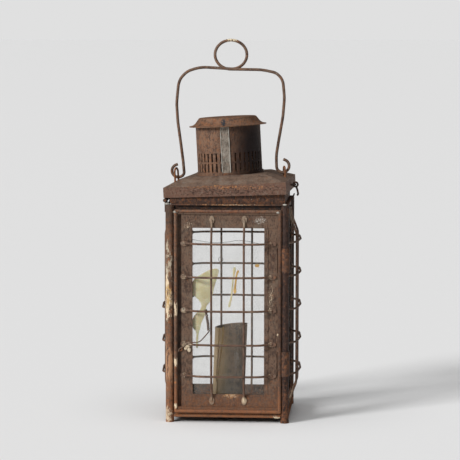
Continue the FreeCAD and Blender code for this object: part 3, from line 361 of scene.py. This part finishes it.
# %% Lid and chimney
LID_LEAN = 0.0524       # the lid stands ajar: its edge rises this much to the right, per unit
lid_rust = rust("rust on the lid", dark=(0.070, 0.044, 0.033), brown=(0.185, 0.122, 0.086),
                grey=(0.235, 0.190, 0.150), grey_share=0.6, orange_share=0.25, flecks=0.15, shine=0.45, shift=12.0,
                layers=[(band(242.2, 241.0, 0.95, lean=LID_LEAN), (0.135, 0.066, 0.044)),
                        (torn_patch((0, -62, 236), (240, 14, 20), 1.6, 1.06, (0.6, 1, 1), shift=8.0),
                         (0.050, 0.027, 0.019)),
                        (torn_patch((0, -62, 239.5), (240, 8, 8), 1.2, 1.08, (0.6, 1, 1)), (0.36, 0.16, 0.065)),
                        (torn_patch((-12, -62, 241), (4, 4, 4), 1.5, 0.86), (0.52, 0.26, 0.09))])
chimney_rust = rust("rust on the chimney", brown=(0.205, 0.116, 0.072), grey_share=0.1, orange_share=0.42,
                    flecks=0.1, shine=0.6, shift=14.0,
                    layers=[(soft_patch((24, -20, 276), (48, 46, 80), 1.1), (0.018, 0.010, 0.009))])
seam_tin = rust("tinned seam", dark=(0.10, 0.080, 0.060), brown=(0.26, 0.22, 0.18), grey=(0.40, 0.38, 0.33),
                grey_share=0.55, orange_share=0.2, shine=0.6, shift=15.0)
cap_rust = rust("rust on the cap", dark=(0.045, 0.026, 0.018), brown=(0.175, 0.098, 0.060), grey_share=0.1,
                orange_share=0.5, shine=0.6, shift=16.0,
                layers=[(torn_patch((-5.5, -34, 303), (7, 14, 12), 1.5, 0.80), (0.018, 0.022, 0.028))])
dress(lid_rust, "lid_roof")
dress(chimney_rust, "chimney_tube", "chimney_base_ring")
dress(seam_tin, "chimney_seam")
dress(cap_rust, "chimney_cap")

# %% Wires
guard_rust_and_painted_shade = rust("rust and painted shade on the guard wires", dark=(0.055, 0.034, 0.026), brown=(0.150, 0.088, 0.060),
                  grey=(0.24, 0.19, 0.145), grey_share=0.5, orange_share=0.35, low_rust=0.06, flecks=0.5, shine=0.6,
                  shift=17.0,
                  layers=[(band(197.0, 201.0, 0.75), (0.36, 0.28, 0.20)),
                          (band(29.0, 26.0, 0.6), (0.34, 0.25, 0.17)),
                          (torn_patch((-38, -64, 90), (16, 10, 66), 1.2, 0.96), (0.50, 0.40, 0.29)),
                          *[(torn_patch((x, -61.5, 114), (4.5, 5, 150), 1.4, 0.72, shift=x), (0.30, 0.225, 0.155))
                            for x in (-44, 43)],
                          (soft_patch((17.3, -61.5, 23), (4, 5, 5), 0.9), CREAM),
                          (soft_patch((-44.3, -61.5, 115.5), (3.0, 4.0, 3.0), 0.9), (0.52, 0.44, 0.34)),
                          # Painted shade: a near-black spot on the left paddle of the middle bar stands for a hole.
                          (soft_patch((-44.3, -61.5, 115.8), (1.5, 3.0, 1.5), 1.0), (0.008, 0.007, 0.007))])
bail_rust = rust("rust on the bail", grey=(0.25, 0.20, 0.165), grey_share=0.5, orange_share=0.38, flecks=0.2,
                 shine=0.65, shift=18.0,
                 layers=[(torn_patch((0, 0, 388), (18, 6, 14), 2.0, 0.88), (0.66, 0.55, 0.38)),
                         (torn_patch((44, 0, 356), (14, 6, 8), 2.0, 0.92, shift=3.0), (0.62, 0.50, 0.34))])
bright_rust = rust("orange rust on small wires", brown=(0.20, 0.090, 0.040), grey=(0.20, 0.14, 0.10),
                   grey_share=0.2, orange_share=0.8, shine=0.4, shift=20.0)
dark_rust = rust("dark rust on the lid's hook", dark=(0.018, 0.012, 0.010), brown=(0.070, 0.042, 0.032),
                 grey_share=0.1, orange_share=0.3, shine=0.5, shift=21.0)
dress(guard_rust_and_painted_shade, *[f"{side}_guard_{kind}" for side in ("door", *SIDES) for kind in ("bars", "uprights")])
dress(bail_rust, "bail")
dress(bright_rust, "bail_eyelet_left", "bail_eyelet_right", "door_tie_wire", "lid_hinge_pin")
dress(dark_rust, "lid_hook", "lid_hook_staple", "latch_loop")

# %% [markdown]
# ## Candle tube, candle and glass
# The tube is rusty too, and wax has run down its left front. Its browns are lighter than the rust elsewhere, as
# painted light for the dim inside of the lantern; its left side is painted a light ochre as painted light and its
# right side a dark brown as painted shade. The panes are old window glass under a thin grey film. Glass is made
# here as a film whose Alpha is small where the pane is clean and larger where dirt has gathered, so that light
# still reaches the inside of the lantern.

# %% Candle and glass
# The tube's base browns are raised as painted light for the dim inside of the lantern.
tube_rust_painted_light_and_shade = rust("rust, painted light and painted shade on the candle tube", dark=(0.130, 0.095, 0.070), brown=(0.380, 0.250, 0.160),
                 grey=(0.380, 0.290, 0.220), grey_share=0.5, orange_share=0.12, shine=0.3, shift=22.0,
                 # Painted light: a light ochre patch on the tube's left side. Painted shade: a dark patch on its right
                 # side.
                 layers=[(soft_patch((-14, -14, 52), (17, 18, 90), 1.3), (0.80, 0.58, 0.32)),
                         (soft_patch((15, -10, 52), (15, 16, 80), 0.5), (0.090, 0.074, 0.064)),
                         (torn_patch((6, -14, 60), (12, 8, 44), 0.7, 1.08, shift=1.0), CHALK)])
dress(tube_rust_painted_light_and_shade, "candle_tube")


def old_glass(name, haze, dirt, tint, shift):
    finish, tree, shader = new_finish(name)
    where = place(tree, shift=shift)
    film = between(tree, noise(tree, where, 22.0, 5.0, 0.6), 0.35, 0.70)
    wiped = between(tree, noise(tree, place(tree, stretch=(1, 1, 0.25), shift=shift + 2.0), 5.0, 5.0, 0.7), 0.40, 0.75)
    specks = between(tree, noise(tree, place(tree, shift=shift + 5.0), 1.3, 3.0, 0.8), 0.69, 0.74)
    veil = maths(tree, "ADD", maths(tree, "MULTIPLY", film, haze * 0.5), maths(tree, "MULTIPLY", wiped, haze * 0.3))
    veil = maths(tree, "ADD", veil, haze * 0.5)
    alpha = maths(tree, "ADD", veil, maths(tree, "MULTIPLY", specks, dirt))
    plug(tree, alpha, shader.inputs["Alpha"])
    colour = lay(tree, maths(tree, "MULTIPLY", specks, 0.8), tint, (0.42, 0.34, 0.22))
    plug(tree, colour, shader.inputs["Base Color"])
    plug(tree, between(tree, film, 0.0, 1.0, 0.12, 0.35), shader.inputs["Roughness"])
    return finish


clean_glass = old_glass("old window glass", 0.06, 0.35, (0.36, 0.39, 0.37), 1.0)
hazy_glass = old_glass("hazed door glass", 0.09, 0.45, (0.38, 0.37, 0.33), 4.0)
dress(clean_glass, *[f"{side}_glass" for side in SIDES])
dress(hazy_glass, "door_glass")


def wax_finish(name, colour, deep):
    finish, tree, shader = new_finish(name)
    soft = noise(tree, place(tree, shift=2.0), 7.0, 5.0, 0.6)
    fine = noise(tree, place(tree, shift=6.0), 1.2, 3.0, 0.6)
    plug(tree, lay(tree, between(tree, soft, 0.35, 0.7), deep, colour), shader.inputs["Base Color"])
    plug(tree, between(tree, fine, 0.2, 0.8, 0.35, 0.6), shader.inputs["Roughness"])
    shader.inputs["Subsurface Weight"].default_value = 0.2
    shader.inputs["Subsurface Scale"].default_value = 2.0 * MM
    bump = tree.nodes.new("ShaderNodeBump")
    bump.inputs["Strength"].default_value = 0.3
    bump.inputs["Distance"].default_value = 0.3 * MM
    plug(tree, soft, bump.inputs["Height"])
    tree.links.new(bump.outputs["Normal"], shader.inputs["Normal"])
    return finish


candle_wax = wax_finish("candle wax", (0.78, 0.70, 0.50), (0.62, 0.50, 0.30))
char, char_tree, char_shader = new_finish("charred wick")
char_grain = noise(char_tree, place(char_tree), 0.4, 3.0, 0.7)
char_share = between(char_tree, char_grain, 0.4, 0.6)
plug(char_tree, lay(char_tree, char_share, (0.012, 0.010, 0.009), (0.05, 0.042, 0.036)),
     char_shader.inputs["Base Color"])
char_shader.inputs["Roughness"].default_value = 0.95
dress(candle_wax, "candle_stub")
dress(char, "candle_wick")
bare = [name for name, node in NODES.items()
        if not node.data.materials or not node.data.materials[0].use_nodes]
print("nodes with no finish", bare)

# %% [markdown]
# ## Wax, wire and solder
# Wax was splashed on the inside of the door's pane and ran down it. A spill is a flat pool with a rounded rim, so
# it is drawn as a closed outline, filled, given a thickness and a rounded edge, and turned into a mesh. The tie
# wire is two strands twisted together, which a pair of coiled curves makes at once. Solder lumps start as balls
# and are pressed flat and roughened.

# %% Making small pieces
door_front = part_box("door_glass")[0][1]
door_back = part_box("door_glass")[1][1]


def settle(name, finish, body, smooth=True):
    """Names the new piece, gives it its finish and its body, and leaves its place in its mesh."""
    piece = bpy.context.object
    bpy.ops.object.transform_apply(location=True, rotation=True, scale=True)
    piece.name = name
    piece.data.name = name
    piece.data.materials.clear()
    piece.data.materials.append(finish)
    if smooth:
        bpy.ops.object.shade_smooth()
    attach(piece, body)
    return piece


def curve_piece(name, points_mm, closed, thick_mm):
    """A smooth curve through the points, made the active object."""
    bpy.ops.object.select_all(action="DESELECT")
    shape = bpy.data.curves.new(name, "CURVE")
    shape.dimensions = "3D"
    line = shape.splines.new("BEZIER")
    line.bezier_points.add(len(points_mm) - 1)
    for knot, place_mm in zip(line.bezier_points, points_mm):
        knot.co = [v * MM for v in place_mm]
        knot.handle_left_type = "AUTO"
        knot.handle_right_type = "AUTO"
    line.use_cyclic_u = closed
    line.resolution_u = 6
    shape.bevel_depth = thick_mm / 2 * MM
    shape.bevel_resolution = 2
    shape.use_fill_caps = not closed
    piece = bpy.data.objects.new(name, shape)
    bpy.context.scene.collection.objects.link(piece)
    piece.select_set(True)
    bpy.context.view_layer.objects.active = piece
    return piece


def mend():
    """Merges doubles and turns every face outwards."""
    bpy.ops.object.mode_set(mode="EDIT")
    bpy.ops.mesh.select_all(action="SELECT")
    bpy.ops.mesh.remove_doubles(threshold=0.01 * MM)
    bpy.ops.mesh.normals_make_consistent(inside=False)
    bpy.ops.object.mode_set(mode="OBJECT")


def wire(name, points_mm, thick_mm, finish, body, closed=False):
    curve_piece(name, points_mm, closed, thick_mm)
    bpy.ops.object.convert(target="MESH")
    mend()
    return settle(name, finish, body)


def spill(name, outline_mm, thick_mm, finish, body):
    """A flat pool on the back of the door's pane; the outline is (across, up)."""
    bulge = thick_mm / 2 * MM
    piece = curve_piece(name, [(x, z, 0) for x, z in outline_mm], True, thick_mm * 0.7)
    piece.data.dimensions = "2D"
    piece.data.fill_mode = "BOTH"
    piece.data.extrude = 0.1 * MM
    piece.rotation_euler = (math.radians(90), 0, 0)
    piece.location = (0, door_back + bulge, 0)
    bpy.ops.object.convert(target="MESH")
    mend()
    return settle(name, finish, body)


def lump(name, centre_mm, size_mm, seed, finish, body):
    """A blob of solder or paint: a ball, pressed to its three sizes and roughened."""
    bpy.ops.object.select_all(action="DESELECT")
    bpy.ops.mesh.primitive_ico_sphere_add(subdivisions=3, radius=MM / 2, location=[v * MM for v in centre_mm])
    bpy.ops.object.mode_set(mode="EDIT")
    bpy.ops.mesh.select_all(action="SELECT")
    bpy.ops.transform.resize(value=size_mm)
    bpy.ops.transform.vertex_random(offset=0.09 * min(size_mm) * MM, uniform=0.0, normal=1.0, seed=seed)
    bpy.ops.mesh.vertices_smooth(factor=0.5, repeat=1)
    bpy.ops.object.mode_set(mode="OBJECT")
    return settle(name, finish, body)


# %% Wax on the pane
pane_wax = wax_finish("wax on the pane", (0.62, 0.58, 0.37), (0.52, 0.46, 0.25))
drip_wax = wax_finish("stained wax", (0.62, 0.40, 0.12), (0.46, 0.24, 0.06))
big_pool = [(-36, 131), (-36, 138), (-33, 146), (-26, 150.5), (-20, 154), (-14, 156), (-9.5, 155.5), (-10, 150),
            (-12, 143), (-14, 136), (-15.5, 129), (-18, 123), (-21.5, 118), (-22, 113), (-24, 107), (-26.5, 101.5),
            (-28, 95), (-29.3, 91), (-29.9, 84), (-30.5, 76), (-31.2, 76), (-31.4, 84), (-31.6, 92.5), (-34.5, 96),
            (-35.3, 101), (-34, 107), (-31, 111), (-27.5, 114.5), (-26, 118), (-27, 122), (-30, 126), (-34, 129)]
spill("wax_pool", big_pool, 0.9, pane_wax, "door")
spill("wax_streak", [(11, 155), (10, 150), (8.7, 138), (7.9, 131.5), (6.7, 132), (7.6, 142), (9.2, 152)], 0.6,
      drip_wax, "door")
spill("wax_smear", [(8, 158), (6.5, 146), (5.2, 132), (3.6, 122), (1.6, 117.5), (1, 119), (3, 126), (4.2, 136),
                    (5.6, 150), (6.8, 158)], 0.4, pane_wax, "door")
spill("wax_spot", [(28, 160), (31, 158.6), (32.2, 160.2), (29.5, 161.4)], 0.5, drip_wax, "door")
print("wax pool behind the pane at", round(door_back / MM, 2))

# %% Broken edge of the pane
glass_edge = wax_finish("broken glass edge", (0.16, 0.19, 0.18), (0.07, 0.09, 0.085))
pane_low, pane_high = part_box("door_glass")
edge_x = pane_low[0] / MM
edge_y = door_front / MM
wire("pane_broken_edge", [(edge_x + 3, edge_y, 186.4), (edge_x + 8, edge_y, 185.4), (edge_x + 22, edge_y, 183.4),
                          (edge_x + 38, edge_y, 183.8), (edge_x + 50, edge_y, 185.6),
                          (pane_high[0] / MM - 18, edge_y, 184.4), (pane_high[0] / MM - 8, edge_y, 182.2)], 0.4,
     glass_edge, "door")

# %% Wax on the candle tube
wire("wax_run_long", [(-7.2, -15.9, 92), (-7.6, -15.9, 84), (-9.6, -15.0, 66), (-11.8, -13.6, 48), (-13.6, -12.4, 30),
                      (-14.6, -11.8, 12)], 1.5, drip_wax, "lantern")
wire("wax_run_short", [(-11.6, -13.4, 90), (-12.4, -13.0, 74), (-13.6, -12.4, 52), (-14.6, -11.8, 34)], 1.1,
     drip_wax, "lantern")

# %% Twisted tie wire
bar_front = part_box("door_guard_bars")[0][1] / MM
TWIST_TURNS = 4.5
TWIST_STEPS = 44
TWIST_R = 0.90
TWIST_WIRE = 1.15
TWIST_BACK = 1.6        # the twist's middle line, behind the foremost point of the door's bars
LOOP_R = 1.75
LOOP_BACK = 2.6
RING_R = 2.4
twist_y = bar_front + TWIST_BACK
spine = [Vector((-20.8, twist_y, 116.6)), Vector((-19.4, twist_y, 108)),
         Vector((-18.4, twist_y, 102)), Vector((-18.0, twist_y + 0.1, 95.6))]


def spine_at(share):
    """A place along the twist's middle line."""
    span = share * (len(spine) - 1)
    i = min(int(span), len(spine) - 2)
    return spine[i].lerp(spine[i + 1], span - i)


for strand, start_turn in (("a", 0.0), ("b", math.pi)):
    coil = []
    for i in range(TWIST_STEPS + 1):
        turn = start_turn + i / TWIST_STEPS * TWIST_TURNS * 2 * math.pi
        at = spine_at(i / TWIST_STEPS)
        coil.append((at.x + TWIST_R * math.cos(turn), at.y + TWIST_R * math.sin(turn), at.z))
    if strand == "b":
        coil += [(-19.5, twist_y, 92), (-23, twist_y + 0.1, 88), (-27, twist_y + 0.3, 84.2),
                 (-32, bar_front + 3.0, 83), (-37, bar_front + 6.0, 82.6), (-41, -63.6, 81.4), (-43, -62.6, 78.4),
                 (-46, -62.0, 76.6), (-48.6, -62.2, 74.6), (-49.4, -62.4, 72.4)]
    piece = wire(f"tie_strand_{strand}", coil, TWIST_WIRE, guard_rust_and_painted_shade if strand == "b" else dark_rust, "door")
    if strand == "a":
        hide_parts("door_tie_wire")
loop = [(-20.8, bar_front + LOOP_BACK + LOOP_R * math.cos(a), 114.4 + LOOP_R * math.sin(a))
        for a in [i * math.pi / 4 for i in range(8)]]
wire("tie_loop", loop, 1.0, dark_rust, "door", closed=True)
wire("stile_hook", [(-45.7, -60.9, 77), (-45.6, -61.4, 75), (-46.4, -61.6, 73.4), (-47.6, -61.6, 73.2),
                    (-48.4, -61.3, 74.4)], 0.9, bright_rust, "door")
back_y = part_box("rear_guard_bars")[1][1] / MM
wire("rear_ring", [(-16.5 + RING_R * math.cos(a), back_y - 0.4, 152.4 + RING_R * math.sin(a))
                   for a in [i * math.pi / 4 for i in range(8)]], 0.45, dark_rust, "lantern", closed=True)

# %% Solder and paint lumps
solder = rust("old solder", dark=(0.20, 0.18, 0.15), brown=(0.42, 0.40, 0.35), grey=(0.55, 0.53, 0.48),
              grey_share=0.6, orange_share=0.15, shine=0.7, shift=25.0)
thick_paint = rust("thick cream paint", dark=(0.40, 0.30, 0.20), brown=(0.66, 0.54, 0.38), grey=(0.74, 0.66, 0.52),
                   grey_share=0.5, orange_share=0.1, shine=0.5, shift=26.0)
LUMPS = [("solder_top_left", (-60.5, -61.8, 222.4), (5.0, 2.6, 2.2), solder, "lantern"),
         ("solder_top_right", (58.0, -61.8, 222.0), (4.4, 2.4, 1.8), solder, "lantern"),
         ("solder_foot_left", (-58.6, -62.2, 8.0), (4.2, 2.4, 3.0), thick_paint, "lantern"),
         ("paint_under_rail", (51.0, -62.4, 6.0), (6.5, 2.4, 1.8), thick_paint, "lantern"),
         ("paint_stile_a", (-39.8, -61.2, 78.2), (6.0, 3.0, 4.2), thick_paint, "door"),
         ("paint_stile_b", (-38.4, -61.0, 74.2), (3.8, 2.4, 5.0), thick_paint, "door"),
         ("paint_stile_c", (-42.0, -61.0, 75.4), (3.4, 2.2, 3.0), thick_paint, "door"),
         ("paint_strap_a", (51.6, -62.2, 90.4), (2.4, 2.2, 3.0), thick_paint, "door"),
         ("solder_bead_left", (-52.8, -63.0, 214.2), (3.8, 2.8, 2.4), solder, "door"),
         ("solder_bead_right", (51.2, -63.0, 214.2), (3.4, 2.8, 2.4), solder, "door")]
for seed, (name, centre, size, finish, body) in enumerate(LUMPS):
    lump(name, centre, size, seed, finish, body)
print("lumps", len(LUMPS))

# %% Edges of the chimney's seam
seam_low, seam_high = [[v / MM for v in corner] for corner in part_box("chimney_seam")]
SEAM_W = 9.0
for side, off in (("left", 0.3), ("right", SEAM_W - 0.3)):
    foot_x = seam_high[0] - SEAM_W + off
    head_x = seam_low[0] + off
    front_y = seam_low[1] + 0.25
    run = [(foot_x + (head_x - foot_x) * i / 8, front_y + 0.12 * math.sin(2.2 * i), seam_low[2] + 0.6
            + (seam_high[2] - seam_low[2] - 1.2) * i / 8) for i in range(9)]
    wire(f"seam_ridge_{side}", run, 1.0, solder, "lid")

# %% [markdown]
# ## Floor and light
# The lantern stands on a wide pale floor. A low sun from the left front with a broad disc gives the soft
# shadow, a dimmer one from above fills the roof and the floor, and a weak sky leaves the right side dark.
# What the camera sees behind the floor is set apart from what the sky gives as light, so both can be right.

# %% Floor and light
bpy.ops.object.select_all(action="DESELECT")
bpy.ops.mesh.primitive_plane_add(size=2000.0, location=(0, 0, 0))
floor = bpy.context.object
floor.name = "floor"
paper, _, paper_shader = new_finish("pale floor")
paper_shader.inputs["Base Color"].default_value = (0.80, 0.80, 0.80, 1)
paper_shader.inputs["Roughness"].default_value = 0.9
paper_shader.inputs["Specular IOR Level"].default_value = 0.1
floor.data.materials.append(paper)


def sun(name, azimuth, elevation, strength, disc):
    """A sun at an azimuth to the left of the door's front, looking at the lantern."""
    lamp = bpy.data.lights.new(name, "SUN")
    lamp.energy = strength
    lamp.angle = math.radians(disc)
    holder = bpy.data.objects.new(name, lamp)
    bpy.context.scene.collection.objects.link(holder)
    a = math.radians(azimuth)
    e = math.radians(elevation)
    towards = Vector((-math.sin(a) * math.cos(e), -math.cos(a) * math.cos(e), math.sin(e)))
    holder.rotation_euler = towards.to_track_quat("Z", "Y").to_euler()


sun("key", 46.0, 25.0, 2.98, 16.0)
sun("overhead", 20.0, 80.0, 1.47, 60.0)
SKY_LIGHT = 0.09
SKY_SEEN = 0.745
world = bpy.data.worlds.new("studio")
world.use_nodes = True
bpy.context.scene.world = world
sky = world.node_tree
sky.nodes.clear()
sky_out = sky.nodes.new("ShaderNodeOutputWorld")
sky_light = sky.nodes.new("ShaderNodeBackground")
sky_light.inputs["Strength"].default_value = SKY_LIGHT
sky_seen = sky.nodes.new("ShaderNodeBackground")
sky_seen.inputs["Strength"].default_value = SKY_SEEN
for node in (sky_light, sky_seen):
    node.inputs["Color"].default_value = (1, 1, 1, 1)
sky_mix = sky.nodes.new("ShaderNodeMixShader")
sky_path = sky.nodes.new("ShaderNodeLightPath")
sky.links.new(sky_path.outputs["Is Camera Ray"], sky_mix.inputs[0])
sky.links.new(sky_light.outputs[0], sky_mix.inputs[1])
sky.links.new(sky_seen.outputs[0], sky_mix.inputs[2])
sky.links.new(sky_mix.outputs[0], sky_out.inputs["Surface"])
bpy.context.scene.view_settings.view_transform = "Standard"
